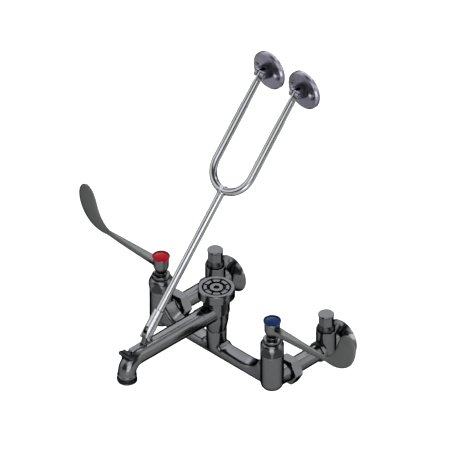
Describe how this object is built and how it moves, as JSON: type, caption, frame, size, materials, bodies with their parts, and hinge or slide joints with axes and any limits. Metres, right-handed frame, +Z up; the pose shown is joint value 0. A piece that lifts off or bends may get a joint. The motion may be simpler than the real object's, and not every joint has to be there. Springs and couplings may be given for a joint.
{
  "type": "service sink faucet",
  "caption": "Wall-mounted service sink faucet with wrist-blade valves, vacuum breaker, hose-thread spout with pail hook, forked wall brace and service stops.",
  "frame": {"origin": "on the wall plane, midway between the two supply inlets, at the height of their axes", "axes": "+Z up, +Y into the wall along the inlet axes, +X to the cold side, as seen by the user"},
  "size_m": [0.5056, 0.3065, 0.4105],
  "materials": {
    "chrome_plate": "polished chrome plate on cast brass",
    "handle_chrome": "polished chrome plate on cast brass",
    "dark_chrome": "dark chrome plate",
    "brace_chrome": "bright chrome plate on steel tube",
    "flange_plate": "chrome plate on a cast flange",
    "steel_pins": "plain steel",
    "brass": "machined brass",
    "ceramic": "ground ceramic",
    "rubber": "black rubber",
    "float_plastic": "moulded plastic",
    "red_plastic": "glossy plastic with a dark rim",
    "blue_plastic": "glossy plastic with a dark rim"
  },
  "bodies": {
    "fixture": {"bridge_body": "chrome_plate", "bonnet_hot": "chrome_plate", "bonnet_cold": "chrome_plate", "cartridge_hot": "brass", "cartridge_cold": "brass", "seat_seal_hot": "rubber", "seat_seal_cold": "rubber", "fixed_disc_hot": "ceramic", "fixed_disc_cold": "ceramic", "coupling_nut_hot": "chrome_plate", "coupling_nut_cold": "chrome_plate", "coupling_washer_hot": "rubber", "coupling_washer_cold": "rubber", "inlet_arm_hot": "chrome_plate", "inlet_arm_cold": "chrome_plate", "escutcheon_hot": "chrome_plate", "escutcheon_cold": "chrome_plate", "stop_bonnet_hot": "chrome_plate", "stop_bonnet_cold": "chrome_plate", "stop_cap_hot": "chrome_plate", "stop_cap_cold": "chrome_plate", "breaker_body": "chrome_plate", "breaker_gasket": "rubber", "breaker_seat": "brass", "air_guide": "chrome_plate", "cap_ring": "chrome_plate", "cap_set_screw": "steel_pins", "spout": "chrome_plate", "outlet_thread": "dark_chrome", "pail_hook": "dark_chrome"},
    "hot_valve": {"turning_disc_hot": "ceramic", "stem_hot": "brass", "stem_rings_hot": "rubber", "handle_hot": "handle_chrome", "handle_screw_hot": "brass", "index_button_hot": "red_plastic"},
    "cold_valve": {"turning_disc_cold": "ceramic", "stem_cold": "brass", "stem_rings_cold": "rubber", "handle_cold": "handle_chrome", "handle_screw_cold": "brass", "index_button_cold": "blue_plastic"},
    "float": {"breaker_float": "float_plastic", "float_washer": "rubber"},
    "hot_stop_disc": {"stop_disc_hot": "rubber"},
    "hot_stop_spindle": {"stop_spindle_hot": "brass"},
    "cold_stop_disc": {"stop_disc_cold": "rubber"},
    "cold_stop_spindle": {"stop_spindle_cold": "brass"},
    "brace": {"brace_clevis": "brace_chrome", "brace_pin": "steel_pins", "brace_rod": "brace_chrome", "brace_yoke": "brace_chrome", "flange_pins": "steel_pins"},
    "left_flange": {"brace_flange_left": "flange_plate"},
    "right_flange": {"brace_flange_right": "flange_plate"}
  },
  "joints": [
    {"name": "hot_handle_turn", "type": "hinge", "parent": "fixture", "child": "hot_valve", "pos_m": [-0.1016, -0.13, 0.05], "axis": [0, 0, 1], "range_deg": [0, 90]},
    {"name": "cold_handle_turn", "type": "hinge", "parent": "fixture", "child": "cold_valve", "pos_m": [0.1016, -0.13, 0.05], "axis": [0, 0, 1], "range_deg": [-90, 0]},
    {"name": "float_lift", "type": "slide", "parent": "fixture", "child": "float", "axis": [0, 0, 1], "range_m": [0, 0.004]},
    {"name": "hot_stop_travel", "type": "slide", "parent": "fixture", "child": "hot_stop_disc", "axis": [0, 0, -1], "range_m": [0, 0.0045]},
    {"name": "hot_stop_turn", "type": "hinge", "parent": "hot_stop_disc", "child": "hot_stop_spindle", "pos_m": [-0.1016, -0.0307, 0.03], "axis": [0, 0, -1], "range_deg": [0, 1080]},
    {"name": "cold_stop_travel", "type": "slide", "parent": "fixture", "child": "cold_stop_disc", "axis": [0, 0, -1], "range_m": [0, 0.0045]},
    {"name": "cold_stop_turn", "type": "hinge", "parent": "cold_stop_disc", "child": "cold_stop_spindle", "pos_m": [0.1016, -0.0307, 0.03], "axis": [0, 0, -1], "range_deg": [0, 1080]},
    {"name": "brace_swing", "type": "hinge", "parent": "fixture", "child": "brace", "pos_m": [0, -0.2575, 0.0826], "axis": [1, 0, 0], "range_deg": [0, 100]},
    {"name": "left_flange_swing", "type": "hinge", "parent": "brace", "child": "left_flange", "pos_m": [-0.03175, -0.0175, 0.35919], "axis": [1, 0, 0], "range_deg": [-55, 150]},
    {"name": "right_flange_swing", "type": "hinge", "parent": "brace", "child": "right_flange", "pos_m": [0.03175, -0.0175, 0.35919], "axis": [1, 0, 0], "range_deg": [-55, 150]}
  ],
  "couplings": [
    {"joint": "hot_stop_travel", "follows": "hot_stop_turn", "m_per_rad": 0.00023873},
    {"joint": "cold_stop_travel", "follows": "cold_stop_turn", "m_per_rad": 0.00023873}
  ]
}
